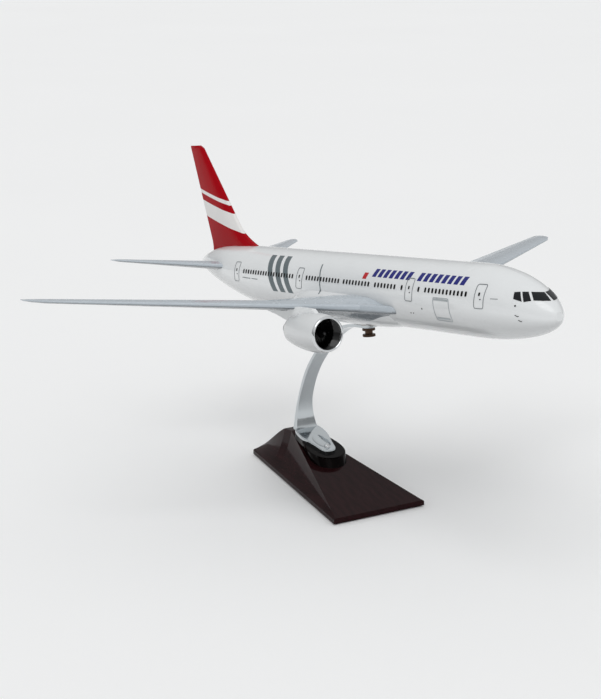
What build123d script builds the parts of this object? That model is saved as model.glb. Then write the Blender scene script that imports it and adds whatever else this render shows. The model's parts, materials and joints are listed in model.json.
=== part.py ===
from build123d import *
import math
import os

# Desktop airliner model on a chrome stand. Millimetres, +Z up, +X towards the nose,
# +Y to the model's port side. The origin is the centre of the stand's underside.
# The aircraft is a 1:100 twin-engined wide-body. It is drawn nose at x = 0, level,
# with its fuselage axis on X, and then set nose-up on the stand.

# ---- stand -----------------------------------------------------------------
FELT = 1.0
BASE_LENGTH = 218.0
BASE_FRONT_WIDTH = 101.0
BASE_REAR_WIDTH = 29.0
BASE_EDGE = 5.6
BASE_INSET = 0.9
PEAK_X = -42.0
PEAK_Z = 43.2
PEAK_HALF = 7.6
CREST_X = -57.0
RAMP_SLOPE = (PEAK_Z - BASE_EDGE - 0.6) / (BASE_LENGTH / 2 - PEAK_X)
RAMP_TILT = math.degrees(math.atan(RAMP_SLOPE))

PEDESTAL_TOP = 8.3
PEDESTAL_RADIUS = 19.5
PEDESTAL_LEAN = 9.0
PEDESTAL_CENTRE = 9.5
PEDESTAL_REAR = -38.0
PEDESTAL_SCREW_X = -6.0
PEDESTAL_SCREW_Y = 12.0
SCREW_HEAD = 4.0

ARM_WIDTH = 15.6
ARM_FLARE = 12.8
ARM_THICK = 3.8
SEAT_PLATE = 2.5
FOOT_THICK = 3.0
FOOT_HALF = 14.5
FOOT_FRONT = 19.6
FOOT_REAR = -29.0
RECESS_DEPTH = 2.2
SCREW_SPOT = 11.8
SCREW_RADIUS = 1.5

# ---- how the aircraft sits on the stand --------------------------------------
SEAT_X = 85.9
SEAT_Z = 180.1
NOSE_UP = 7.7
SWIVEL_X = -283.0
SEAT_LEVEL = -34.2

THREAD_RADIUS = 2.5
THREAD_CLEARANCE = 0.05
KNOB_RADIUS = 6.0
KNOB_WAIST = 3.6
KNOB_HEIGHT = 8.0
KNOB_DISC = 2.4
WASHER_THICK = 0.8
WASHER_RADIUS = 5.2
INSERT_RADIUS = 5.0
INSERT_FLANGE = 6.8
INSERT_DEPTH = 14.0
SCREW_LENGTH = 11.0

# ---- aircraft ---------------------------------------------------------------
RADIUS = 31.0
SHELL = 2.4
NOSE_TIP = -4.0
NOSE_LENGTH = 98.0
NOSE_DROOP = -5.5
NOSE_STEPS = 12
TAIL_START = -430.0
TAIL_END = -608.7
TAIL_STEPS = 9
TAIL_TOP_DROP = 18.6
TAIL_BOTTOM_RISE = 36.6
TAIL_END_SHARE = 0.084

WING_Z = -12.0
WING_DIHEDRAL = 0.105
# span station, leading edge, trailing edge, thickness ratio, nose-up lift of the leading edge,
# share of lens-shaped section, share of the thickness moved above the chord line
WING_STATIONS = (
    (18.0, -186.0, -348.0, 0.150, 2.0, 0.9, -0.12),
    (31.0, -194.0, -346.0, 0.150, 2.0, 0.9, -0.12),
    (46.0, -222.0, -342.0, 0.150, 2.0, 0.5, -0.08),
    (100.0, -257.5, -329.5, 0.115, 1.4, 0.0, 0.05),
    (278.0, -364.0, -396.5, 0.110, 0.0, 0.0, 0.05),
    (287.5, -375.0, -400.0, 0.090, 0.0, 0.0, 0.05),
    (291.0, -384.0, -400.0, 0.080, 0.0, 0.0, 0.05),
)
# span station, centre, half length, radius, drop below the wing's level
FLAP_FAIRINGS = (
    (68.0, -321.0, 26.0, 6.0, 6.6),
    (112.0, -337.0, 17.0, 3.6, 4.6),
    (156.0, -353.0, 15.0, 3.2, 4.0),
)
ROD_X = (-262.0, -306.0)
ROD_Z = -10.5
ROD_RADIUS = 2.5
ROD_REACH = 54.0

STAB_ROOT = (12.0, -508.0, -584.0)
STAB_TIP = (106.0, -586.5, -608.5)
STAB_END = (110.0, -595.0, -608.0)
STAB_Z = 10.6
STAB_DIHEDRAL = 0.135
STAB_ROD_X = -556.0
STAB_ROD_RADIUS = 1.5

FIN_TOP = 134.8
FIN_FOOT = 22.0
FIN_LE_FOOT = -503.0
FIN_LE_TOP = -591.0
FIN_TE_FOOT = -583.0
FIN_TE_TOP = -619.0
DORSAL_REACH = 20.0
DORSAL_HEIGHT = 20.0
FIN_PINS_X = (-530.0, -565.0)

ENGINE_Y = 92.0
ENGINE_Z = -25.2
ENGINE_X = -201.6
# distance behind the intake highlight, outer radius
COWL_OUTER = ((2.2, 15.6), (9.0, 16.8), (18.0, 17.2), (30.0, 16.7), (44.0, 14.9), (56.0, 12.4))
NOZZLE_EXIT = 68.0
PLUG_TIP = 76.0
LIP_DEPTH = 2.2
THROAT = 13.1
FAN_DEPTH = 11.0
DUCT_DEPTH = 19.0
BULKHEAD = 6.0
FAN_RADIUS = 12.9
FAN_BLADES = 22
HUB_RADIUS = 3.9
AXLE_RADIUS = 1.0
AXLE_CLEARANCE = 0.05
FAN_THICK = 5.0
PYLON_WIDTH = 3.6


def box_between(low, high):
    """A box from its lowest to its highest corner."""
    size = [b - a for a, b in zip(low, high)]
    middle = [(a + b) / 2 for a, b in zip(low, high)]
    return Pos(*middle) * Box(*size)


def seated(part):
    """Set a level aircraft piece nose-up on the stand."""
    return Pos(SEAT_X, 0, SEAT_Z) * Rot(0, -NOSE_UP, 0) * Pos(-SWIVEL_X, 0, -SEAT_LEVEL) * part


def both_sides(part):
    """Starboard and port copies of a starboard piece."""
    return part, mirror(part, about=Plane.XZ)


def edges_on(part, plane):
    """The edges of a part that lie in a plane."""
    def lies(edge):
        ends = (edge @ 0, edge @ 0.37, edge @ 1)
        return all(abs((point - plane.origin).dot(plane.z_dir)) < 0.01 for point in ends)
    return part.edges().filter_by(lies)


def solid_of(part):
    """The largest solid of a boolean result."""
    return max(part.solids(), key=lambda s: s.volume)


# ---- stand pieces -------------------------------------------------------------
def ramp_plane():
    """The sloping top of the base, at the middle of its length."""
    z_mid = BASE_EDGE + 0.6 + RAMP_SLOPE * BASE_LENGTH / 2
    return Plane(
        origin=(0, 0, z_mid),
        x_dir=(math.cos(math.radians(RAMP_TILT)), 0, -math.sin(math.radians(RAMP_TILT))),
        z_dir=(math.sin(math.radians(RAMP_TILT)), 0, math.cos(math.radians(RAMP_TILT))),
    )


def base_half_width(x):
    share = (BASE_LENGTH / 2 - x) / BASE_LENGTH
    return (BASE_FRONT_WIDTH + share * (BASE_REAR_WIDTH - BASE_FRONT_WIDTH)) / 2


def base_section(x, crest_half, crest_z):
    """A cross-section of the base, with sides that sweep up in a hollow curve."""
    half = base_half_width(x)
    inner = half - BASE_INSET
    dip_y = crest_half + (inner - crest_half) * 0.36
    dip_z = BASE_EDGE + 0.3 + (crest_z - BASE_EDGE) * 0.46
    low = (half, FELT)
    edge = (half, BASE_EDGE - 0.6)
    shoulder = (inner, BASE_EDGE + 0.2)
    crest = (crest_half, crest_z)
    corners = [(-crest_half, crest_z), (-inner, BASE_EDGE + 0.2), (-half, BASE_EDGE - 0.6), (-half, FELT)]
    edges = [
        Line(low, edge),
        Line(edge, shoulder),
        ThreePointArc(shoulder, (dip_y, dip_z), crest),
        Line(crest, corners[0]),
        ThreePointArc(corners[0], (-dip_y, dip_z), corners[1]),
        Line(corners[1], corners[2]),
        Line(corners[2], corners[3]),
        Line(corners[3], low),
    ]
    plane = Plane(origin=(x, 0, 0), x_dir=(0, 1, 0), z_dir=(1, 0, 0))
    return plane * make_face(Curve() + edges)


def make_base():
    front_x = BASE_LENGTH / 2
    front = base_section(front_x, BASE_FRONT_WIDTH / 2 - BASE_INSET - 0.8, BASE_EDGE + 0.6)
    peak = base_section(PEAK_X, PEAK_HALF, PEAK_Z)
    ramp = loft([front, peak], ruled=True)
    crown = loft([peak, base_section(CREST_X, 6.6, PEAK_Z - 1.6)], ruled=True)
    tail_steps = [
        base_section(CREST_X, 6.6, PEAK_Z - 1.6),
        base_section(-74.0, 5.4, 31.6),
        base_section(-91.0, 4.2, 20.0),
        base_section(-front_x, 3.0, 9.0),
    ]
    tail = loft(tail_steps, ruled=False)
    return solid_of(ramp + crown + tail)


def make_felt():
    inset = 2.0
    front_x = BASE_LENGTH / 2 - inset
    rear_x = -BASE_LENGTH / 2 + inset
    outline = Polyline(
        (front_x, base_half_width(front_x) - inset),
        (rear_x, base_half_width(rear_x) - inset),
        (rear_x, inset - base_half_width(rear_x)),
        (front_x, inset - base_half_width(front_x)),
        close=True,
    )
    return extrude(make_face(outline), FELT)


def pedestal_outline(front_x, front_radius, rear_radius):
    """Round-ended outline that widens to the front, seen square to the ramp."""
    front = Pos(front_x, 0) * Circle(front_radius)
    rear = Pos(PEDESTAL_REAR + rear_radius, 0) * Circle(rear_radius)
    return make_hull(front.edges() + rear.edges())


def make_pedestal(base):
    plane = ramp_plane()
    under = 3.0
    low = plane.offset(-under) * pedestal_outline(PEDESTAL_CENTRE + PEDESTAL_LEAN, PEDESTAL_RADIUS - 1.5, 12.0)
    high = plane.offset(PEDESTAL_TOP) * pedestal_outline(PEDESTAL_CENTRE, PEDESTAL_RADIUS, 11.0)
    block = loft([low, high], ruled=True)
    block = chamfer(edges_on(block, plane.offset(PEDESTAL_TOP)), 0.9)
    return solid_of(block - base)


def foot_plane():
    return ramp_plane().offset(PEDESTAL_TOP)


def foot_outline():
    """Teardrop seen square to the ramp: round at the arm, narrower at the front."""
    rear_half = 12.6
    edge = Spline((FOOT_REAR, rear_half), (-12.0, FOOT_HALF), (8.5, 9.6), (FOOT_FRONT, 0),
                  tangents=((0.7, 0.35), (0, -1)))
    rear = Line((FOOT_REAR, 0), (FOOT_REAR, rear_half))
    middle = Line((FOOT_FRONT, 0), (FOOT_REAR, 0))
    half = make_face(Curve() + [edge, rear, middle])
    return half + mirror(half, about=Plane.XZ)


def arm_side_profile():
    """The bent strip seen from the side: the hollow face looks forward."""
    tilt = math.radians(NOSE_UP)
    seat = Vector(SEAT_X, SEAT_Z)
    down = Vector(math.sin(tilt), -math.cos(tilt))
    ahead = Vector(math.cos(tilt), math.sin(tilt))
    end = seat + ahead * (ARM_WIDTH / 2)
    pad = seat - ahead * 9.0
    outer = Spline(tuple(pad), (38.5, 166.0), (1.6, 134.6), (-21.8, 101.6), (-31.0, 72.0), (-31.0, 49.5),
                   tangents=(tuple(-1 * ahead), (0.08, -1)))
    under = pad + down * SEAT_PLATE
    hollow = [under]
    for share in (0.15, 0.3, 0.45, 0.6, 0.75, 0.88):
        run = (outer % share).normalized()
        thick = SEAT_PLATE + (ARM_THICK - SEAT_PLATE) * share
        hollow.append((outer @ share) + Vector(-run.Y, run.X) * thick)
    hollow += [Vector(-25.6, 55.0), Vector(-20.0, 47.6)]
    inner = Spline(*[(p.X, p.Y) for p in hollow], tangents=(tuple(-1 * ahead), (0.9, -0.5)))
    tip = end + down * SEAT_PLATE
    edges = [
        outer,
        Line((-31.0, 49.5), (-20.0, 47.6)),
        inner,
        Line((under.X, under.Y), (tip.X, tip.Y)),
        Line(tuple(tip), tuple(end)),
        Line(tuple(end), tuple(pad)),
    ]
    side = Plane(origin=(0, 0, 0), x_dir=(1, 0, 0), z_dir=(0, -1, 0))
    return side * make_face(Curve() + edges)


def arm_front_silhouette():
    """How wide the strip is at each height."""
    top = SEAT_Z + 10
    foot_z = foot_plane().origin.Z - FOOT_REAR * RAMP_SLOPE - 2
    edge = Spline((ARM_FLARE, foot_z), (9.3, foot_z + 17), (7.2, foot_z + 42), (7.0, foot_z + 66),
                  (ARM_WIDTH / 2, foot_z + 108), (ARM_WIDTH / 2, top), tangents=((-0.3, 1), (0, 1)))
    outline = [edge, Line((0, foot_z), (ARM_FLARE, foot_z)), Line((0, top), (ARM_WIDTH / 2, top)),
               Line((0, top), (0, foot_z))]
    half = make_face(Curve() + outline)
    whole = half + mirror(half, about=Plane.YZ)
    front = Plane(origin=(0, 0, 0), x_dir=(0, 1, 0), z_dir=(1, 0, 0))
    return front * whole


def seat_rod(radius, low, high, part_z=0.0):
    """A round rod along the swivel axis, between two levels of the aircraft frame."""
    return seated(Pos(SWIVEL_X, 0, (low + high) / 2 + part_z) * Cylinder(radius, high - low))


def make_arm(pedestal):
    strip = extrude(arm_side_profile(), 20, both=True)
    silhouette = extrude(arm_front_silhouette(), 150, both=True)
    strip = strip & silhouette
    half = ARM_WIDTH / 2
    blank = box_between((SWIVEL_X, -20, -40), (SWIVEL_X + 20, 20, -30))
    blank -= Pos(SWIVEL_X, 0, -35) * Cylinder(half, 20)
    strip -= seated(blank)
    plane = foot_plane()
    foot = extrude(plane * foot_outline(), FOOT_THICK)
    rim = edges_on(foot, plane.offset(FOOT_THICK)).filter_by(GeomType.BSPLINE)
    foot = fillet(rim, 0.9)
    recess = plane.offset(FOOT_THICK) * Pos(0.4, 0, 7.0 - RECESS_DEPTH) * scale(Sphere(1), by=(17.5, 10.6, 7.0))
    arm = foot + strip - recess
    arm -= seat_rod(THREAD_RADIUS + 0.4, -45, -25)
    arm -= make_foot_screw()
    return solid_of(arm - pedestal)


def screw_shank(extra):
    """The foot screw's shank, square to the ramp."""
    plane = foot_plane()
    length = 14.0
    return plane * Pos(SCREW_SPOT, 0, FOOT_THICK - length / 2) * Cylinder(SCREW_RADIUS + extra, length)


def make_foot_screw():
    plane = foot_plane()
    head_radius = 2.9
    seat = FOOT_THICK - RECESS_DEPTH + 0.25
    ball = plane * Pos(SCREW_SPOT, 0, seat + 2.1) * Sphere(head_radius)
    collar = plane * Pos(SCREW_SPOT, 0, seat + 0.5) * Cylinder(2.4, 1.0)
    return ball + collar + screw_shank(0.0)


def pedestal_screws():
    """Two wood screws that hold the pedestal from under the base."""
    screws = []
    x = PEDESTAL_SCREW_X
    top = BASE_EDGE + RAMP_SLOPE * (BASE_LENGTH / 2 - x) + 5.0
    for y in (-PEDESTAL_SCREW_Y, PEDESTAL_SCREW_Y):
        head = Pos(x, y, FELT + 2.5) * Cylinder(SCREW_HEAD, 3.0)
        shank = Pos(x, y, (FELT + 1 + top) / 2) * Cylinder(1.8, top - FELT - 1)
        screws.append(head + shank)
    return screws


# ---- screw joint between stand and aircraft -----------------------------------
def make_insert():
    """Brass threaded insert; its flange is the aircraft's bearing face."""
    level = SEAT_LEVEL
    sleeve = Pos(SWIVEL_X, 0, level + INSERT_DEPTH / 2) * Cylinder(INSERT_RADIUS, INSERT_DEPTH)
    flange = Pos(SWIVEL_X, 0, level + 0.7) * Cylinder(INSERT_FLANGE, 1.4)
    hole = Pos(SWIVEL_X, 0, level + INSERT_DEPTH / 2) * Cylinder(THREAD_RADIUS + THREAD_CLEARANCE,
                                                                 INSERT_DEPTH + 1)
    return sleeve + flange - hole


def insert_pocket():
    level = SEAT_LEVEL
    depth = INSERT_DEPTH + 0.2
    sleeve = Pos(SWIVEL_X, 0, level + depth / 2) * Cylinder(INSERT_RADIUS, depth)
    flange = Pos(SWIVEL_X, 0, level - 0.6) * Cylinder(INSERT_FLANGE, 4.0)
    return sleeve + flange


def make_washer():
    top = SEAT_LEVEL - SEAT_PLATE
    ring = Pos(SWIVEL_X, 0, top - WASHER_THICK / 2) * Cylinder(WASHER_RADIUS, WASHER_THICK)
    return ring - Pos(SWIVEL_X, 0, top) * Cylinder(THREAD_RADIUS + THREAD_CLEARANCE, 5)


def make_thumbscrew():
    """A spool-shaped knob with two knurled discs and a threaded shank."""
    top = SEAT_LEVEL - SEAT_PLATE - WASHER_THICK
    bottom = top - KNOB_HEIGHT
    disc = Cylinder(KNOB_RADIUS, KNOB_DISC)
    notches = Part() + [
        Rot(0, 0, k * 15) * Pos(KNOB_RADIUS + 0.15, 0, 0) * Cylinder(0.4, KNOB_DISC + 1)
        for k in range(24)
    ]
    disc = chamfer(disc.edges(), 0.35) - notches
    knob = Pos(SWIVEL_X, 0, top - KNOB_DISC / 2) * disc
    knob += Pos(SWIVEL_X, 0, bottom + KNOB_DISC / 2) * disc
    knob += Pos(SWIVEL_X, 0, (top + bottom) / 2) * Cylinder(KNOB_WAIST, KNOB_HEIGHT - 1)
    shank_top = SEAT_LEVEL + SCREW_LENGTH
    shank = Pos(SWIVEL_X, 0, (top + shank_top) / 2 - 0.5) * Cylinder(THREAD_RADIUS, shank_top - top + 1)
    return knob + chamfer(shank.edges().sort_by(Axis.Z)[-1], 0.5)


# ---- fuselage -------------------------------------------------------------------
def section_face(x, top, bottom, half, wall):
    plane = Plane(origin=(x, 0, (top + bottom) / 2), x_dir=(0, 1, 0), z_dir=(1, 0, 0))
    return plane * Ellipse(half - wall, (top - bottom) / 2 - wall)


def nose_section(share, wall):
    """Fuselage section at a share of the nose's length; the nose is blunt and droops."""
    full = 1 - (1 - share) ** 2
    top = NOSE_DROOP + (RADIUS - NOSE_DROOP) * full ** 0.68
    bottom = NOSE_DROOP - (RADIUS + NOSE_DROOP) * full ** 0.43
    return section_face(NOSE_TIP - NOSE_LENGTH * share, top, bottom, RADIUS * full ** 0.58, wall)


def tail_section(share, wall):
    """Fuselage section at a share of the tail's length; the belly sweeps up to a small end."""
    top = RADIUS - TAIL_TOP_DROP * share ** 5
    bottom = -RADIUS + TAIL_BOTTOM_RISE * share ** 1.5
    half = RADIUS * (TAIL_END_SHARE + (1 - TAIL_END_SHARE) * (1 - share ** 2) ** 0.83)
    return section_face(TAIL_START + (TAIL_END - TAIL_START) * share, top, bottom, half, wall)


def hull(wall):
    """Fuselage skin offset inwards by the wall, closed at both ends."""
    first = 1 if wall == 0 else 3
    nose = [nose_section((k / NOSE_STEPS) ** 1.8, wall) for k in range(first, NOSE_STEPS + 1)]
    last = TAIL_STEPS if wall == 0 else TAIL_STEPS - 1
    tail = [tail_section((k / TAIL_STEPS) ** 0.9, wall) for k in range(0, last + 1)]
    middle = loft([nose[-1], tail[0]], ruled=True)
    return loft(nose) + middle + loft(tail)


def half_space(side):
    return box_between((-700, min(0, side * 200), -100), (100, max(0, side * 200), 200))


def make_fairing_blank():
    """The wing-to-body fairing before the fuselage is taken out of it."""
    stations = (
        (-200.0, -20.0, 14.0, 8.0),
        (-216.0, -16.5, 30.0, 14.4),
        (-240.0, -14.0, 36.0, 18.9),
        (-275.0, -13.2, 37.5, 20.4),
        (-325.0, -13.2, 37.5, 20.4),
        (-356.0, -14.5, 34.0, 17.8),
        (-390.0, -21.0, 12.0, 8.0),
    )
    faces = []
    for x, z, half, tall in stations:
        plane = Plane(origin=(x, 0, z), x_dir=(0, 1, 0), z_dir=(1, 0, 0))
        faces.append(plane * Ellipse(half, tall))
    return loft(faces)


def wing_rods(extra):
    """Two straight steel rods that carry both wings."""
    length = 2 * ROD_REACH + extra
    return [
        Pos(x, 0, ROD_Z) * Rot(90, 0, 0) * Cylinder(ROD_RADIUS, length)
        for x in ROD_X
    ]


def stab_rod(extra):
    return Pos(STAB_ROD_X, 0, STAB_Z + 2.0) * Rot(90, 0, 0) * Cylinder(STAB_ROD_RADIUS, 64 + extra)


def fin_pins(extra):
    return [
        Pos(x, 0, 31.0) * Cylinder(1.5, 24 + extra)
        for x in FIN_PINS_X
    ]


def make_mount_block(core):
    block = box_between((-322, -29, -28.6), (-246, 29, -3))
    block = block & core
    block -= insert_pocket()
    for rod in wing_rods(1):
        block -= rod
    return solid_of(block)


# ---- wings ---------------------------------------------------------------------
def airfoil(y, leading, trailing, ratio, z, lift, blunt=0.5, bias=0.05, lens=0.0):
    """A rounded-nose section standing at one span station."""
    chord = leading - trailing
    upper = []
    lower = []
    steps = 7
    for k in range(steps + 1):
        share = (1 - math.cos(math.pi * k / steps)) / 2
        half = 5 * ratio * chord * (0.2969 * math.sqrt(share) - 0.126 * share - 0.3516 * share ** 2
                                    + 0.2843 * share ** 3 - 0.1036 * share ** 4)
        half += lens * (0.5 * ratio * chord * math.sin(math.pi * share ** 0.8) - half)
        half += blunt * share / 2
        mid = z + lift * (1 - share) - lift * 0.5
        x = leading - chord * share
        upper.append((x, y, mid + half * (1 + bias)))
        lower.append((x, y, mid - half * (1 - bias)))
    top = Edge.make_spline([Vector(p) for p in upper], tangents=[Vector(0, 0, 1), Vector(-1, 0, -0.10 - bias / 2)])
    bottom = Edge.make_spline([Vector(p) for p in lower], tangents=[Vector(0, 0, -1), Vector(-1, 0, 0.10 - bias / 2)])
    close = Edge.make_line(Vector(upper[-1]), Vector(lower[-1]))
    return Face(Wire([top, close, bottom]))


def wing_level(y):
    return WING_Z + WING_DIHEDRAL * (y - RADIUS)


def make_wing_blank():
    """Starboard wing before it is trimmed to the fuselage."""
    faces = []
    for y, leading, trailing, ratio, lift, lens, bias in WING_STATIONS:
        faces.append(airfoil(-y, leading, trailing, ratio, wing_level(y), lift, 0.5, bias, lens))
    return loft(faces, ruled=True)


def flap_fairings():
    """Slender flap-track fairings moulded under the trailing edge."""
    fairings = []
    for y, x, half_length, radius, drop in FLAP_FAIRINGS:
        curve = Spline((-half_length, 0), (-half_length * 0.5, radius * 0.82), (half_length * 0.2, radius),
                       (half_length, 0), tangents=((0.5, 1), (0.1, -1)))
        axis = Line((half_length, 0), (-half_length, 0))
        pod = revolve(Plane.XY * make_face(Curve() + [curve, axis]), Axis.X)
        fairings.append(Pos(x, -y, wing_level(y) - drop) * Rot(0, 3, 0) * pod)
    return fairings


def make_stabilizer_blank():
    faces = []
    for station, ratio in ((STAB_ROOT, 0.12), (STAB_TIP, 0.12), (STAB_END, 0.10)):
        y, le, te = station
        faces.append(airfoil(-y, le, te, ratio, STAB_Z + STAB_DIHEDRAL * (y - 20), 0.0, 0.4))
    return loft(faces, ruled=True)


def fin_section(z):
    """A level section through the fin, with the dorsal fillet ahead of its foot."""
    share = (z - RADIUS) / (FIN_TOP - RADIUS)
    leading = FIN_LE_FOOT + share * (FIN_LE_TOP - FIN_LE_FOOT)
    trailing = FIN_TE_FOOT + max(share, 0) * (FIN_TE_TOP - FIN_TE_FOOT)
    rise = (z - RADIUS + 1) / DORSAL_HEIGHT
    if rise < 1:
        leading += DORSAL_REACH * (1 - rise) ** 2
    thick = 8.6 - 4.8 * share
    section = airfoil(0, leading, trailing, thick / (leading - trailing), 0, 0.0, 0.4, 0.0)
    return Pos(0, 0, z) * Rot(90, 0, 0) * section


def make_fin_blank():
    levels = (FIN_FOOT, 28.5, 33.2, 36.0, 39.5, 44.0, 50.0, FIN_TOP - 3.0)
    faces = [fin_section(z) for z in levels]
    tip = airfoil(0, FIN_LE_TOP - 4.0, FIN_TE_TOP, 0.08, 0, 0.0, 0.4, 0.0)
    faces.append(Pos(0, 0, FIN_TOP) * Rot(90, 0, 0) * tip)
    return loft(faces, ruled=True)


# ---- engines ---------------------------------------------------------------------
def turned(points, close_points):
    """Revolve an outline of (distance behind the highlight, radius) about the engine axis."""
    outer = Spline(*[(-d, r) for d, r in points])
    path = Polyline(*[(-d, r) for d, r in close_points])
    outline = make_face(Curve() + [outer, path])
    return revolve(outline, Axis.X)


def make_cowl():
    last_d, last_r = COWL_OUTER[-1]
    first_d, first_r = COWL_OUTER[0]
    back = DUCT_DEPTH + BULKHEAD
    inside = (
        (last_d, last_r), (last_d, last_r - 0.8), (back, FAN_RADIUS), (back, AXLE_RADIUS),
        (DUCT_DEPTH, AXLE_RADIUS), (DUCT_DEPTH, FAN_RADIUS + 0.4), (first_d, FAN_RADIUS + 0.4),
        (first_d, first_r),
    )
    return turned(COWL_OUTER, inside)


def make_lip():
    """Polished ring round the intake."""
    crest = THROAT + 1.0
    curve = Spline((-LIP_DEPTH, COWL_OUTER[0][1]), (-0.5, 15.0), (0, crest), (-0.6, THROAT + 0.25),
                   (-LIP_DEPTH, FAN_RADIUS + 0.4), tangents=((1, -0.12), (-1, -0.05)))
    back = Line((-LIP_DEPTH, FAN_RADIUS + 0.4), (-LIP_DEPTH, COWL_OUTER[0][1]))
    return revolve(make_face(Curve() + [curve, back]), Axis.X)


def fan_blade():
    """One twisted blade, lofted from hub to tip."""
    faces = []
    for radius, chord, turn in ((HUB_RADIUS - 0.8, 3.4, 22), (8.5, 4.2, 42), (FAN_RADIUS - 0.35, 4.2, 58)):
        plane = Plane(origin=(0, 0, radius), x_dir=(1, 0, 0), z_dir=(0, 0, 1))
        faces.append(plane * Rot(0, 0, turn) * Rectangle(chord, 0.5))
    return loft(faces, ruled=True)


def make_fan():
    hub = Rot(0, 90, 0) * Cylinder(HUB_RADIUS, FAN_THICK)
    blade = fan_blade()
    for k in range(FAN_BLADES):
        hub += Rot(k * 360 / FAN_BLADES, 0, 0) * blade
    hub -= Rot(0, 90, 0) * Cylinder(AXLE_RADIUS + AXLE_CLEARANCE, FAN_THICK + 4)
    return Pos(-(FAN_DEPTH + FAN_THICK / 2), 0, 0) * hub


def make_spinner():
    """Domed cone in front of the hub."""
    front = FAN_DEPTH - 6.0
    curve = Spline((-FAN_DEPTH, HUB_RADIUS), (-FAN_DEPTH + 3.2, 2.6), (-front, 0),
                   tangents=((1, -0.25), (0.35, -1)))
    path = Polyline((-front, 0), (-FAN_DEPTH, 0), (-FAN_DEPTH, HUB_RADIUS))
    return revolve(make_face(Curve() + [curve, path]), Axis.X)


def make_axle():
    """Steel pin pressed in the bulkhead; the fan turns on it."""
    start = FAN_DEPTH + 0.3
    end = DUCT_DEPTH + BULKHEAD
    return Pos(-(start + end) / 2, 0, 0) * Rot(0, 90, 0) * Cylinder(AXLE_RADIUS, end - start)


def make_core_nozzle():
    start = DUCT_DEPTH + BULKHEAD
    throat = NOZZLE_EXIT - 12.0
    outer = ((start, 9.6), (44.0, 9.2), (58.0, 7.8), (NOZZLE_EXIT, 6.0))
    inside = ((NOZZLE_EXIT, 6.0), (NOZZLE_EXIT, 5.4), (throat, 6.6), (throat, 0), (start, 0), (start, 9.6))
    return turned(outer, inside)


def make_exhaust_plug():
    throat = NOZZLE_EXIT - 12.0
    outer = ((throat, 4.0), (NOZZLE_EXIT - 2.0, 3.3), (PLUG_TIP, 0.4))
    inside = ((PLUG_TIP, 0.4), (PLUG_TIP, 0), (throat, 0), (throat, 4.0))
    return turned(outer, inside)


def at_engine(part):
    return Pos(ENGINE_X, -ENGINE_Y, ENGINE_Z) * part


def make_pylon(wing):
    """Strut from the top of the cowl to the underside of the wing."""
    top = wing_level(ENGINE_Y)
    outline = Polyline(
        (ENGINE_X - 14.0, ENGINE_Z + 15.0),
        (ENGINE_X - 22.0, ENGINE_Z + 20.4),
        (ENGINE_X - 50.0, top + 1.0),
        (ENGINE_X - 96.0, top - 1.0),
        (ENGINE_X - 106.0, top - 5.0),
        (ENGINE_X - 84.0, ENGINE_Z + 11.0),
        (ENGINE_X - 62.0, ENGINE_Z + 6.0),
        (ENGINE_X - 20.0, ENGINE_Z + 6.0),
        close=True,
    )
    side = Plane(origin=(0, -ENGINE_Y, 0), x_dir=(1, 0, 0), z_dir=(0, -1, 0))
    plate = extrude(side * make_face(outline), PYLON_WIDTH / 2, both=True)
    upright = plate.edges().filter_by(Axis.Y).group_by(Axis.X)[-1]
    plate = chamfer(upright, 0.9)
    front, rear = COWL_OUTER[0], COWL_OUTER[-1]
    filled = turned(COWL_OUTER, (rear, (rear[0], 0), (front[0], 0), front))
    solid_cowl = at_engine(filled)
    nozzle = at_engine(make_core_nozzle())
    return solid_of(plate - wing - solid_cowl - nozzle)


# ---- put it together --------------------------------------------------------------
def stand_nodes():
    base = make_base()
    pedestal = make_pedestal(base)
    foot_screw = make_foot_screw()
    screws = pedestal_screws()
    arm = make_arm(pedestal)
    shank = screw_shank(0.0)
    pedestal -= shank
    base -= shank
    felt = make_felt()
    for screw in screws:
        base -= screw
        pedestal -= screw
    for y in (-PEDESTAL_SCREW_Y, PEDESTAL_SCREW_Y):
        base -= Pos(PEDESTAL_SCREW_X, y, FELT + 0.5) * Cylinder(SCREW_HEAD, 3.0)
    return {
        "base": solid_of(base),
        "base_felt": felt,
        "pedestal": solid_of(pedestal),
        "pedestal_screws": Compound(children=[s.solid() for s in screws]),
        "stand_arm": arm,
        "foot_screw": foot_screw,
    }


def engine_nodes(wing):
    pieces = {
        "engine_cowl": at_engine(make_cowl()),
        "intake_lip": at_engine(make_lip()),
        "fan": at_engine(make_fan()),
        "fan_spinner": at_engine(make_spinner()),
        "fan_axle": at_engine(make_axle()),
        "core_nozzle": at_engine(make_core_nozzle()),
        "exhaust_plug": at_engine(make_exhaust_plug()),
        "pylon": make_pylon(wing),
    }
    nodes = {}
    for name, piece in pieces.items():
        right, left = both_sides(piece)
        nodes[name + "_right"] = right
        nodes[name + "_left"] = left
    return nodes


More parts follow.
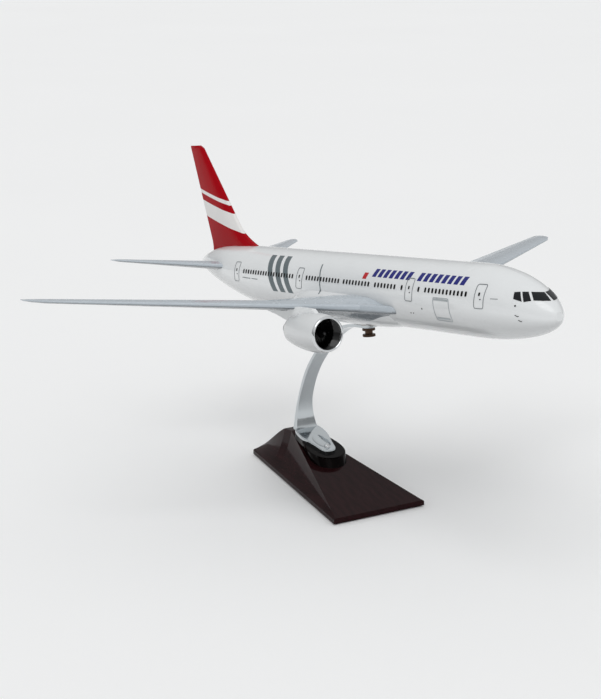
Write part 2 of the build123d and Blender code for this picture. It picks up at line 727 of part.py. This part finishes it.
def aircraft_nodes():
    outer = hull(0)
    core = hull(SHELL)
    fairing = make_fairing_blank()
    wing = make_wing_blank()
    body = outer + fairing
    rods = wing_rods(0)
    rod_holes = wing_rods(1)
    fin_holes = fin_pins(0)

    for pod in flap_fairings():
        wing += pod
    wing = solid_of(wing - body)
    for rod in rod_holes:
        wing -= rod
    wing = solid_of(wing)

    stabilizer = solid_of(make_stabilizer_blank() - outer - stab_rod(0))
    fin = solid_of(make_fin_blank() - outer)
    shell = outer - core - stab_rod(0) - insert_pocket()
    for hole in rod_holes:
        shell -= hole
    for hole in fin_holes:
        shell -= hole
        fin -= hole
    belly = fairing - outer - insert_pocket()
    for hole in rod_holes:
        belly -= hole

    right_wing, left_wing = both_sides(wing)
    right_stab, left_stab = both_sides(stabilizer)
    nodes = {
        "fuselage_right": solid_of(shell & half_space(-1)),
        "fuselage_left": solid_of(shell & half_space(1)),
        "belly_fairing": solid_of(belly),
        "mount_block": make_mount_block(core),
        "mount_insert": make_insert(),
        "wing_right": right_wing,
        "wing_left": left_wing,
        "wing_rods": Compound(children=[r.solid() for r in rods]),
        "stabilizer_right": right_stab,
        "stabilizer_left": left_stab,
        "stabilizer_rod": stab_rod(0),
        "fin": solid_of(fin),
        "fin_pins": Compound(children=[p.solid() for p in fin_pins(0)]),
        "thumbscrew": make_thumbscrew(),
        "thumbscrew_washer": make_washer(),
    }
    nodes.update(engine_nodes(wing))
    return {name: seated(piece) for name, piece in nodes.items()}


def main():
    os.makedirs("parts", exist_ok=True)
    nodes = stand_nodes()
    nodes.update(aircraft_nodes())
    for name, piece in nodes.items():
        export_step(piece, os.path.join("parts", name + ".step"))


main()
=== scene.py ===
import json
import math

import bmesh
import bpy
from mathutils import Matrix, Vector
from mathutils.bvhtree import BVHTree


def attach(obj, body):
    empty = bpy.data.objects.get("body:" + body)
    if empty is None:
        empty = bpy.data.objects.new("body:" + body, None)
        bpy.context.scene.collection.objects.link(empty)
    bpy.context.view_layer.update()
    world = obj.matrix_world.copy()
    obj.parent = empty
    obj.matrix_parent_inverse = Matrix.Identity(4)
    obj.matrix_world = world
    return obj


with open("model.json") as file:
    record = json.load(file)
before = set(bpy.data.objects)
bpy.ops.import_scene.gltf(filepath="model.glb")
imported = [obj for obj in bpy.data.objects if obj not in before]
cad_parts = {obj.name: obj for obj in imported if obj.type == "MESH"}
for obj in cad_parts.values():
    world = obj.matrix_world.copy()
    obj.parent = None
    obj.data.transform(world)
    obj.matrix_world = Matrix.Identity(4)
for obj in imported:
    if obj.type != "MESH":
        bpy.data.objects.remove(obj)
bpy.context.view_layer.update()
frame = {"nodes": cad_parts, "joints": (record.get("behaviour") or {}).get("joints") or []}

NODES = frame["nodes"]
MM = 0.001
SIDES = (("right", -1), ("left", 1))

# ---- the aircraft's own axes --------------------------------------------------
# x is measured aft from the nose as negative millimetres, y to port, z up from the
# fuselage axis; the aircraft sits nose-up on the swivel of the stand, which meets it
# SWIVEL_AFT behind the nose and SEAT_DROP below the axis, both in metres.
SWIVEL = next(j for j in frame["joints"] if j["name"] == "aircraft_swivel")
SWIVEL_AFT = 0.283
SEAT_DROP = 0.0342
NOSE_UP = math.atan2(-SWIVEL["axis"][0], SWIVEL["axis"][2])
SEATED = (Matrix.Translation(Vector(SWIVEL["pos_m"]))
          @ Matrix.Rotation(-NOSE_UP, 4, "Y")
          @ Matrix.Translation((SWIVEL_AFT, 0, SEAT_DROP)))
LEVEL = SEATED.inverted()


# ---- materials ----------------------------------------------------------------
# Noise rarely leaves the middle of its range, so tones and gloss are spread over it.
NOISE_LOW, NOISE_HIGH = 0.3, 0.7


def neutral(value):
    return [value, value, value, 1.0]


def linear(hex_colour):
    """An sRGB hex colour as linear RGBA."""
    values = [int(hex_colour[i:i + 2], 16) / 255 for i in (1, 3, 5)]
    return [v / 12.92 if v < 0.04045 else ((v + 0.055) / 1.055) ** 2.4 for v in values] + [1.0]


def shade(colour, factor):
    return [min(c * factor, 1.0) for c in colour[:3]] + [1.0]


class Look:
    """A Principled material with helpers that add procedural nodes."""

    def __init__(self, name, **constants):
        self.material = bpy.data.materials.new(name)
        self.material.use_nodes = True
        self.nodes = self.material.node_tree.nodes
        self.links = self.material.node_tree.links
        self.shader = self.nodes["Principled BSDF"]
        for key, value in constants.items():
            self.shader.inputs[key.replace("_", " ")].default_value = value
        self.place = self.add("ShaderNodeTexCoord").outputs["Object"]

    def add(self, kind, **settings):
        node = self.nodes.new(kind)
        for key, value in settings.items():
            setattr(node, key, value)
        return node

    def noise(self, scale, detail=4.0, stretch=(1, 1, 1)):
        mapping = self.add("ShaderNodeMapping")
        mapping.inputs["Scale"].default_value = stretch
        texture = self.add("ShaderNodeTexNoise")
        texture.inputs["Scale"].default_value = scale
        texture.inputs["Detail"].default_value = detail
        self.links.new(self.place, mapping.inputs["Vector"])
        self.links.new(mapping.outputs["Vector"], texture.inputs["Vector"])
        return texture.outputs["Fac"]

    def ramp(self, factor, stops, stepped=False):
        """A colour for each value of the factor, from (position, colour) stops."""
        node = self.add("ShaderNodeValToRGB")
        ramp = node.color_ramp
        ramp.interpolation = "CONSTANT" if stepped else "LINEAR"
        while len(ramp.elements) < len(stops):
            ramp.elements.new(0.5)
        for element, (position, colour) in zip(ramp.elements, stops):
            element.position = position
            element.color = colour
        self.links.new(factor, node.inputs["Fac"])
        return node.outputs["Color"]

    def ranged(self, value, lowest, highest, low=0.0, high=1.0):
        """The value with lowest..highest mapped to low..high."""
        node = self.add("ShaderNodeMapRange")
        node.inputs["From Min"].default_value = lowest
        node.inputs["From Max"].default_value = highest
        node.inputs["To Min"].default_value = low
        node.inputs["To Max"].default_value = high
        self.links.new(value, node.inputs["Value"])
        return node.outputs["Result"]

    def multiply(self, first, second):
        mix = self.add("ShaderNodeMixRGB", blend_type="MULTIPLY")
        mix.inputs["Fac"].default_value = 1.0
        self.links.new(first, mix.inputs["Color1"])
        self.links.new(second, mix.inputs["Color2"])
        return mix.outputs["Color"]

    def painted_underside_shade(self, colour, shade_tone):
        """The colour with painted shade, deepened where the surface faces down."""
        split = self.add("ShaderNodeSeparateXYZ")
        normal = self.add("ShaderNodeTexCoord").outputs["Normal"]
        self.links.new(normal, split.inputs["Vector"])
        facing = self.ranged(split.outputs["Z"], -0.55, -0.05, shade_tone)
        tone = self.add("ShaderNodeCombineXYZ")
        for axis in "XYZ":
            self.links.new(facing, tone.inputs[axis])
        return self.multiply(colour, tone.outputs["Vector"])

    def gloss(self, factor, low, high):
        """Roughness that wanders between two values."""
        self.to(self.ranged(factor, NOISE_LOW, NOISE_HIGH, low, high), "Roughness")

    def mottled(self, factor, dark, light):
        """A tone between two colours."""
        return self.ramp(factor, ((NOISE_LOW, dark), (NOISE_HIGH, light)))

    def to(self, socket, name):
        self.links.new(socket, self.shader.inputs[name])

    def bump(self, height, strength, distance=0.0002):
        node = self.add("ShaderNodeBump")
        node.inputs["Strength"].default_value = strength
        node.inputs["Distance"].default_value = distance
        self.links.new(height, node.inputs["Height"])
        self.to(node.outputs["Normal"], "Normal")


def paint(name, hex_colour, low=0.12, high=0.2, coat=0.6, mottle=0.03,
          metallic=0.0, shine=0.5, underside_shade=1.0):
    """Sprayed paint: even, with a faint unevenness in tone and gloss; an underside factor under 1 adds
    painted shade on faces that turn down.
    """
    look = Look(name, Metallic=metallic, Coat_Weight=coat, Coat_Roughness=0.04, Specular_IOR_Level=shine)
    colour = linear(hex_colour)
    coloured = look.mottled(look.noise(35.0), shade(colour, 1 - mottle), shade(colour, 1 + mottle))
    look.to(look.painted_underside_shade(coloured, underside_shade) if underside_shade < 1 else coloured, "Base Color")
    look.gloss(look.noise(120.0), low, high)
    look.bump(look.noise(420.0, 2.0), 0.02)
    return look.material


def printed(name, hex_colour, shine=0.3, mottle=0.03):
    """Flat printing ink."""
    return paint(name, hex_colour, 0.3, 0.4, 0.0, mottle, 0.0, shine)


# The fin's bands rise aft. Their heights are shares of the way from the fin's foot to
# its tip, both given in metres in the aircraft's own axes.
FIN_SLANT = math.radians(-4.0)
FIN_FOOT = (-0.545, 0.0, 0.024)
FIN_TIP = (-0.60, 0.0, 0.135)


def fin_paint():
    """Red fin with a broad pale band and a thin one, both rising aft."""
    look = Look("fin_red_paint", Coat_Weight=0.0, Specular_IOR_Level=0.03)
    red, pale = linear("#A80816"), linear("#F0EEEC")
    mapping = look.add("ShaderNodeMapping")
    mapping.inputs["Rotation"].default_value = (0, FIN_SLANT, 0)
    split = look.add("ShaderNodeSeparateXYZ")
    look.links.new(look.place, mapping.inputs["Vector"])
    look.links.new(mapping.outputs["Vector"], split.inputs["Vector"])
    turn = Matrix.Rotation(FIN_SLANT, 4, "Y")
    level = [(turn @ (SEATED @ Vector(p))).z for p in (FIN_FOOT, FIN_TIP)]
    share = look.ranged(split.outputs["Z"], min(level), max(level))
    stops = ((0.0, red), (0.26, pale), (0.42, red), (0.49, pale), (0.53, red))
    bands = look.ramp(share, stops, stepped=True)
    tone = look.mottled(look.noise(30.0), neutral(0.93), neutral(1.0))
    look.to(look.multiply(bands, tone), "Base Color")
    look.gloss(look.noise(110.0), 0.14, 0.22)
    return look.material


def metal(name, hex_colour, low, high, grain=(1, 1, 1), bump=0.02, mottle=0.06):
    """Bare or plated metal; the grain stretches its marks."""
    look = Look(name, Metallic=1.0)
    colour = linear(hex_colour)
    tone = look.noise(60.0, 5.0, grain)
    look.to(look.mottled(tone, shade(colour, 1 - mottle), shade(colour, 1 + mottle)), "Base Color")
    look.gloss(look.noise(90.0, 5.0, grain), low, high)
    look.bump(look.noise(300.0, 3.0, grain), bump, 0.0001)
    return look.material


def lacquer(name, dark, light):
    """Dark stained wood with fine lengthwise grain under clear lacquer."""
    look = Look(name, Coat_Weight=0.0, Specular_IOR_Level=0.06)
    grain = look.noise(9.0, 8.0, (1.2, 26.0, 26.0))
    look.to(look.ramp(grain, ((0.25, linear(dark)), (0.75, linear(light)))), "Base Color")
    look.gloss(look.noise(45.0), 0.07, 0.13)
    look.bump(look.noise(120.0, 3.0, (1, 8, 8)), 0.015)
    return look.material


def felt():
    look = Look("dark_felt", Roughness=0.95, Sheen_Weight=0.3)
    fibres = look.noise(900.0, 6.0)
    look.to(look.mottled(fibres, linear("#171717"), linear("#2E2D2D")), "Base Color")
    look.bump(fibres, 0.6, 0.0005)
    return look.material


# The white, cowl and wing paints darken towards their undersides: painted shade, not a change in the paint.
WHITE = paint("white_gloss_paint", "#E8EAEB", 0.14, 0.22, 0.4, 0.012, underside_shade=0.72)
COWL_WHITE = paint("cowl_white_paint", "#D8DADB", 0.16, 0.24, 0.3, 0.012, underside_shade=0.72)
GREY = paint("wing_grey_paint", "#B9C1C8", 0.2, 0.3, 0.2, 0.02, underside_shade=0.38)
GLASS = paint("cockpit_black_glass", "#15181B", 0.06, 0.12, 0.05, 0.05, 0.0, 0.2)
BLACK = paint("fan_black_gloss", "#060607", 0.1, 0.2, 0.1, 0.05, 0.0, 0.35)
NOZZLE = paint("nozzle_grey_paint", "#6E7377", 0.35, 0.45, 0.2, 0.06, 0.4)
BLOCK = paint("block_resin", "#3A3C3F", 0.5, 0.6, 0.0, 0.08)
NAVY = printed("navy_print", "#171E78", 0.25)
SLATE = printed("slate_print", "#626D71", 0.25)
INK = printed("ink_print", "#0B0B0D", 0.15, 0.05)
LINE = printed("door_line_print", "#7C8184")
PALE_LINE = printed("panel_line_print", "#A9AFB2")
SCARLET = printed("scarlet_print", "#BE1620")
CHROME = metal("polished_chrome_plate", "#C3C8CB", 0.07, 0.14, bump=0.01, mottle=0.03)
LIP = metal("lip_chrome_plate", "#DADCDE", 0.05, 0.1)
BRONZE = metal("dark_bronze", "#4A3A30", 0.22, 0.36, (1, 1, 6), 0.08, 0.2)
BRASS = metal("plain_brass", "#B08D57", 0.2, 0.3)
STEEL = metal("turned_steel", "#A9ACB0", 0.2, 0.32, (1, 1, 8), 0.05)
BASE_WOOD = lacquer("base_lacquer", "#1D0D0E", "#2C1517")
PEDESTAL_WOOD = lacquer("pedestal_lacquer", "#040202", "#090404")
FELT = felt()
FIN = fin_paint()

FINISH = {
    "base": BASE_WOOD, "pedestal": PEDESTAL_WOOD, "base_felt": FELT, "pedestal_screws": STEEL,
    "stand_arm": CHROME, "foot_screw": LIP, "thumbscrew": BRONZE, "thumbscrew_washer": STEEL,
    "mount_insert": BRASS, "mount_block": BLOCK, "belly_fairing": WHITE, "wing_rods": STEEL,
    "stabilizer_rod": STEEL, "fin": FIN, "fin_pins": STEEL,
}
PAIRED = {
    "fuselage": WHITE, "wing": GREY, "pylon": WHITE, "engine_cowl": COWL_WHITE,
    "intake_lip": LIP, "fan": BLACK, "fan_spinner": BLACK, "fan_axle": STEEL, "core_nozzle": NOZZLE,
    "exhaust_plug": NOZZLE, "stabilizer": GREY,
}
for stem, material in PAIRED.items():
    for side_name, _ in SIDES:
        FINISH[stem + "_" + side_name] = material
for name, node in NODES.items():
    node.data.materials.clear()
    node.data.materials.append(FINISH[name])


# ---- laying thin pieces on a skin ------------------------------------------------
# Lifts and the sheets' thickness are in millimetres; the rays start RAY_START metres
# out from the aircraft's middle.
LIFT = 0.2
UNDER_LIFT = 0.06
SHEET_THICKNESS = 0.16
RAY_START = 0.2
NOSE_MIDDLE = Vector((-0.045, 0, 0))
SLOT_POINTS = 12
CORNER_STEPS = 3
WELD = 1e-6


def skin(*names):
    """A ray-cast tree of CAD nodes in the aircraft's own axes."""
    points, faces = [], []
    for name in names:
        mesh = NODES[name].data
        start = len(points)
        points += [LEVEL @ v.co for v in mesh.vertices]
        faces += [[start + i for i in p.vertices] for p in mesh.polygons]
    return BVHTree.FromPolygons(points, faces)


BODY = skin("fuselage_left", "fuselage_right", "belly_fairing")


def drop(origin, direction, lift):
    """Where a ray meets the fuselage's skin, lifted off it by some millimetres."""
    hit, normal, _, _ = BODY.ray_cast(origin, direction)
    if normal.dot(direction) > 0:
        normal = -normal
    return SEATED @ (hit + normal * lift * MM)


def from_side(side, lift=LIFT):
    """Maps (x, z) in millimetres to the flank on one side."""
    def place(x, z):
        return drop(Vector((x * MM, side * RAY_START, z * MM)), Vector((0, -side, 0)), lift)
    return place


def round_nose(side):
    """Maps (degrees round from dead ahead, z in millimetres) to the nose."""
    def place(turn, z):
        angle = math.radians(turn)
        outwards = Vector((math.cos(angle), side * math.sin(angle), 0))
        start = NOSE_MIDDLE + outwards * RAY_START + Vector((0, 0, z * MM))
        return drop(start, -outwards, LIFT)
    return place


def mesh_object(name, bm, material):
    """A new object in the scene from a finished bmesh."""
    mesh = bpy.data.meshes.new(name)
    bm.to_mesh(mesh)
    bm.free()
    made = bpy.data.objects.new(name, mesh)
    bpy.context.scene.collection.objects.link(made)
    mesh.materials.append(material)
    return made


class Sheet:
    """A thin piece made of several patches laid on a skin."""

    def __init__(self):
        self.bm = bmesh.new()

    def grid(self, rows, place):
        """Faces over rows of plan points."""
        vertices = [[self.bm.verts.new(place(*p)) for p in row] for row in rows]
        for upper, lower in zip(vertices, vertices[1:]):
            for k in range(len(upper) - 1):
                self.bm.faces.new((upper[k], upper[k + 1], lower[k + 1], lower[k]))

    def quad(self, corners, place, across=6, down=4):
        """A four-cornered patch; corners run round the outline."""
        a, b, c, d = [Vector(p) for p in corners]
        rows = []
        for j in range(down + 1):
            v = j / down
            left, right = a.lerp(d, v), b.lerp(c, v)
            rows.append([tuple(left.lerp(right, i / across)) for i in range(across + 1)])
        self.grid(rows, place)

    def slot(self, x, z, width, height, place):
        """An upright slot with well-rounded corners."""
        ring = []
        for k in range(SLOT_POINTS):
            angle = 2 * math.pi * k / SLOT_POINTS
            c, s = math.cos(angle), math.sin(angle)
            dx = math.copysign(math.sqrt(abs(c)), c) * width / 2
            dz = math.copysign(math.sqrt(abs(s)), s) * height / 2
            ring.append(self.bm.verts.new(place(x + dx, z + dz)))
        self.bm.faces.new(ring)

    def ribbon(self, path, width, place, closed=False, step=2.0):
        """A narrow line along plan points."""
        points = [Vector(p) for p in path]
        if closed:
            points.append(points[0])
        line = [points[0]]
        for a, b in zip(points, points[1:]):
            count = max(1, math.ceil((b - a).length / step))
            line += [a.lerp(b, k / count) for k in range(1, count + 1)]
        if closed:
            line.pop()
        total = len(line)
        rows = []
        for k, point in enumerate(line):
            before = line[k - 1] if closed or k else point
            after = line[(k + 1) % total] if closed or k < total - 1 else point
            along = (after - before).normalized()
            off = Vector((-along.y, along.x)) * width / 2
            rows.append([tuple(point + off), tuple(point - off)])
        if closed:
            rows.append(rows[0])
        self.grid(rows, place)

    def done(self, name, material, slot_name):
        """The finished piece, thickened and fixed to the aircraft."""
        bmesh.ops.remove_doubles(self.bm, verts=self.bm.verts, dist=WELD)
        bmesh.ops.recalc_face_normals(self.bm, faces=self.bm.faces)
        piece = mesh_object(name, self.bm, material)
        thick = piece.modifiers.new("thickness", "SOLIDIFY")
        thick.thickness = SHEET_THICKNESS * MM
        thick.offset = 0.0
        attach(piece, "aircraft")


def rounded(x0, x1, z0, z1, radius):
    """A rounded rectangle in plan."""
    points = []
    for cx, cz, start in ((x1 - radius, z1 - radius, 0), (x0 + radius, z1 - radius, 90),
                          (x0 + radius, z0 + radius, 180), (x1 - radius, z0 + radius, 270)):
        for k in range(CORNER_STEPS + 1):
            angle = math.radians(start + 90 * k / CORNER_STEPS)
            points.append((cx + radius * math.cos(angle), cz + radius * math.sin(angle)))
    return points


# ---- cabin windows and doors ------------------------------------------------------
# All in millimetres of the aircraft's own axes. A window row is (first x, count), and
# a door's fittings are (x from its middle, z from the window line, width, height).
WINDOW_Z = 9.3
WINDOW_PITCH = 5.16
WINDOW_WIDTH, WINDOW_HEIGHT = 2.5, 4.1
WINDOW_ROWS = ((-464.1, 20), (-339.5, 12), (-273.3, 9), (-221.3, 7), (-179.3, 1), (-153.8, 1), (-143.7, 12))
DOORS = (-70.8, -168.0, -352.9, -480.3)
DOOR_WIDTH = 10.6
DOOR_LOW, DOOR_HIGH = -1.4, 17.4
DOOR_CORNER = 1.6
DOOR_LINE = 0.55
DOOR_FITTINGS = ((-0.4, 0.6, 1.9, 2.7), (1.6, -3.4, 1.6, 0.8))


def cabin_windows(side_name, flank):
    windows = Sheet()
    for start, count in WINDOW_ROWS:
        for k in range(count):
            windows.slot(start + k * WINDOW_PITCH, WINDOW_Z, WINDOW_WIDTH, WINDOW_HEIGHT, flank)
    windows.done("cabin_windows_" + side_name, INK, "fan_black")


def doors(side_name, flank):
    outlines, fittings = Sheet(), Sheet()
    for x in DOORS:
        outline = rounded(x - DOOR_WIDTH / 2, x + DOOR_WIDTH / 2, DOOR_LOW, DOOR_HIGH, DOOR_CORNER)
        outlines.ribbon(outline, DOOR_LINE, flank, closed=True)
        for dx, dz, width, height in DOOR_FITTINGS:
            fittings.slot(x + dx, WINDOW_Z + dz, width, height, flank)
    outlines.done("door_outlines_" + side_name, LINE, "wing_grey")
    fittings.done("door_windows_" + side_name, INK, "fan_black")


for side_name, side in SIDES:
    cabin_windows(side_name, from_side(side))
    doors(side_name, from_side(side))


# ---- starboard hold door and small ports ---------------------------------------------
HOLD_DOOR = (-131.5, -109.5, -15.5, 4.0)
HOLD_HINGE = ((-130.6, 3.2), (-110.4, 3.2), (-110.4, 1.7), (-130.6, 1.7))
HOLD_SILL = ((-130.0, -12.6), (-112.0, -12.6), (-112.0, -14.2), (-130.0, -14.2))
PORTS = ((-168.4, -11.8, 1.0), (-164.4, -11.7, 1.0), (-149.4, -6.8, 1.3), (-33.9, 2.2, 1.3))
PROBES = (
    ((-34.0, -5.0), (-31.4, -6.2), (-30.6, -5.8)),
    ((-31.6, -9.0), (-29.4, -10.2), (-28.8, -9.8)),
)


def hold_door(flank):
    hold = Sheet()
    hold.ribbon(rounded(*HOLD_DOOR, 1.4), 0.6, flank, closed=True)
    hold.quad(HOLD_HINGE, flank)
    hold.quad(HOLD_SILL, flank)
    hold.done("hold_door_outline", PALE_LINE, "wing_grey")


def service_ports(flank):
    ports = Sheet()
    for x, z, size in PORTS:
        ports.slot(x, z, size, size, flank)
    for probe in PROBES:
        ports.ribbon(probe, 0.5, flank, step=1.0)
    ports.done("service_ports", INK, "fan_black")


hold_door(from_side(-1))
service_ports(from_side(-1))


# ---- cockpit glazing ---------------------------------------------------------------
# Corners of each pane as (degrees round from dead ahead, z in millimetres).
GLAZING = (
    ((26.6, 12.4), (1.4, 11.6), (2.4, 5.4), (26.4, 6.3)),
    ((47.6, 12.6), (32.4, 12.5), (30.2, 6.0), (43.8, 5.2)),
    ((69.0, 12.4), (52.6, 12.6), (47.6, 5.5), (67.6, 7.4)),
)


def cockpit_windows(side_name, side):
    panes = Sheet()
    for corners in GLAZING:
        panes.quad(corners, round_nose(side), 8, 5)
    panes.done("cockpit_windows_" + side_name, GLASS, "fan_black")


for side_name, side in SIDES:
    cockpit_windows(side_name, side)


# ---- plain livery ----------------------------------------------------------------
BAR_ROWS = ((-230.0, 7), (-160.0, 8))
BAR_PITCH = 8.8
BAR_WIDTH = 5.8
BAR_LEAN = 1.8
BAR_LOW, BAR_HIGH = 15.8, 22.2
BANDS = (-424.0, -409.0, -394.0)
BAND_WIDTH = 9.0
BAND_LEAN = 20.0
BAND_LOW, BAND_HIGH = -7.0, 26.0
BAND_LINE = ((-321.0, 22.0), (-315.0, 8.0), (-312.5, -4.0))
SQUARE_MARK = ((-243.4, 18.6), (-237.2, 18.6), (-238.4, 13.4), (-244.6, 13.4))
DASHES = (
    (((-58.6, 6.9), (-51.0, 6.9)), 0.5),
    (((-466.0, 3.2), (-449.0, 3.0)), 0.8),
    (((-446.0, 3.0), (-434.0, 2.9)), 0.8),
)


def side_bars(side_name, flank):
    bars = Sheet()
    for start, count in BAR_ROWS:
        for k in range(count):
            x = start + k * BAR_PITCH
            top = x + BAR_LEAN
            upper = ((top, BAR_HIGH), (top + BAR_WIDTH, BAR_HIGH))
            lower = ((x + BAR_WIDTH, BAR_LOW), (x, BAR_LOW))
            bars.quad(upper + lower, flank, 3, 4)
    bars.done("side_bars_" + side_name, NAVY, "fin_red")


def rear_bands(side_name, flank):
    bands = Sheet()
    for top in BANDS:
        low = top + BAND_LEAN
        upper = ((top, BAND_HIGH), (top + BAND_WIDTH, BAND_HIGH))
        lower = ((low + BAND_WIDTH, BAND_LOW), (low, BAND_LOW))
        bands.quad(upper + lower, flank, 4, 14)
    bands.ribbon(BAND_LINE, 1.5, flank)
    bands.done("rear_bands_" + side_name, SLATE, "wing_grey")


def square_mark(side_name, flank):
    mark = Sheet()
    mark.quad(SQUARE_MARK, flank, 2, 2)
    mark.done("square_mark_" + side_name, SCARLET, "fin_red")


def small_dashes(side_name, flank):
    dashes = Sheet()
    for path, width in DASHES:
        dashes.ribbon(path, width, flank)
    dashes.done("small_dashes_" + side_name, LINE, "wing_grey")


for side_name, side in SIDES:
    for lay in (side_bars, rear_bands, square_mark, small_dashes):
        lay(side_name, from_side(side, UNDER_LIFT))


# ---- intake liners -----------------------------------------------------------------
# Each engine's front face in the aircraft's own axes, and the liner's closed profile
# as (depth, radius) behind it, in millimetres.
ENGINE_X, ENGINE_Y, ENGINE_Z = -201.6, 92.0, -25.2
LINER = ((2.4, 13.28), (18.9, 13.28), (18.9, 1.6), (18.6, 1.6), (18.6, 13.05), (2.4, 13.1))
LINER_SEGMENTS = 96


def intake_liner(side_name, side):
    """A thin black wall and back plate turned about the engine's axis."""
    centre = Vector((ENGINE_X, side * ENGINE_Y, ENGINE_Z)) * MM
    bm = bmesh.new()
    rings = []
    for depth, radius in LINER:
        ring = []
        for k in range(LINER_SEGMENTS):
            angle = 2 * math.pi * k / LINER_SEGMENTS
            local = centre + Vector((-depth, radius * math.cos(angle), radius * math.sin(angle))) * MM
            ring.append(bm.verts.new(SEATED @ local))
        rings.append(ring)
    for a, b in zip(rings, rings[1:] + rings[:1]):
        for k in range(LINER_SEGMENTS):
            n = (k + 1) % LINER_SEGMENTS
            bm.faces.new((a[k], a[n], b[n], b[k]))
    bmesh.ops.recalc_face_normals(bm, faces=bm.faces)
    piece = mesh_object("intake_liner_" + side_name, bm, BLACK)
    piece.data.shade_smooth()
    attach(piece, "aircraft")


for side_name, side in SIDES:
    intake_liner(side_name, side)


# ---- floor, light and camera -----------------------------------------------------------
# The floor is a square reaching FLOOR_REACH metres each way, a hair under the base. The
# sky's stops are (height, brightness), and a lamp is (name, strength, direction, spread).
FLOOR_REACH = 14.0
FLOOR_LEVEL = -0.0002
SKY = ((0.0, 0.42), (0.22, 0.55), (0.5, 0.95), (1.0, 1.1))
SKY_TINT = (0.985, 0.995, 1.0)
SKY_STRENGTH = 0.72
LAMPS = (
    ("key", 0.62, (-0.35, 0.45, -1.0), 40.0),
    ("fill", 0.2, (-0.8, 0.2, -0.6), 50.0),
)
SENSOR_WIDTH = 36.0
LENS = 85.65
VIEWPOINT = (1.33488, -0.81265, 0.55241)
VIEW_TURN = math.radians(30.64)
VIEW_DIP = math.radians(14.91)


def make_floor():
    bm = bmesh.new()
    r = FLOOR_REACH
    bm.faces.new([bm.verts.new((x, y, FLOOR_LEVEL)) for x, y in ((-r, -r), (r, -r), (r, r), (-r, r))])
    look = Look("pale_floor", Roughness=0.9, Specular_IOR_Level=0.1)
    look.to(look.mottled(look.noise(1.5), neutral(0.955), neutral(0.965)), "Base Color")
    mesh_object("floor", bm, look.material)


def make_world():
    """A soft room: bright overhead, dimmer round the horizon."""
    world = bpy.data.worlds.new("studio")
    bpy.context.scene.world = world
    world.use_nodes = True
    nodes, links = world.node_tree.nodes, world.node_tree.links
    place = nodes.new("ShaderNodeTexCoord")
    split = nodes.new("ShaderNodeSeparateXYZ")
    ramp = nodes.new("ShaderNodeValToRGB")
    links.new(place.outputs["Generated"], split.inputs["Vector"])
    links.new(split.outputs["Z"], ramp.inputs["Fac"])
    while len(ramp.color_ramp.elements) < len(SKY):
        ramp.color_ramp.elements.new(0.5)
    for element, (position, value) in zip(ramp.color_ramp.elements, SKY):
        element.position = position
        element.color = [value * tint for tint in SKY_TINT] + [1.0]
    links.new(ramp.outputs["Color"], nodes["Background"].inputs["Color"])
    nodes["Background"].inputs["Strength"].default_value = SKY_STRENGTH


def make_sun(name, strength, towards, spread):
    data = bpy.data.lights.new(name, "SUN")
    data.energy = strength
    data.angle = math.radians(spread)
    lamp = bpy.data.objects.new(name, data)
    bpy.context.scene.collection.objects.link(lamp)
    lamp.rotation_euler = Vector(towards).to_track_quat("-Z", "Y").to_euler()


def make_camera():
    """The viewpoint: a little above the aircraft, off its starboard bow."""
    data = bpy.data.cameras.new("camera")
    data.sensor_width = SENSOR_WIDTH
    data.lens = LENS
    camera = bpy.data.objects.new("camera", data)
    bpy.context.scene.collection.objects.link(camera)
    ahead = Vector((-math.cos(VIEW_TURN), math.sin(VIEW_TURN), 0)) * math.cos(VIEW_DIP)
    look = ahead - Vector((0, 0, math.sin(VIEW_DIP)))
    camera.location = VIEWPOINT
    camera.rotation_euler = look.to_track_quat("-Z", "Y").to_euler()
    bpy.context.scene.camera = camera


make_floor()
make_world()
for lamp in LAMPS:
    make_sun(*lamp)
make_camera()
bpy.context.scene.view_settings.view_transform = "Standard"
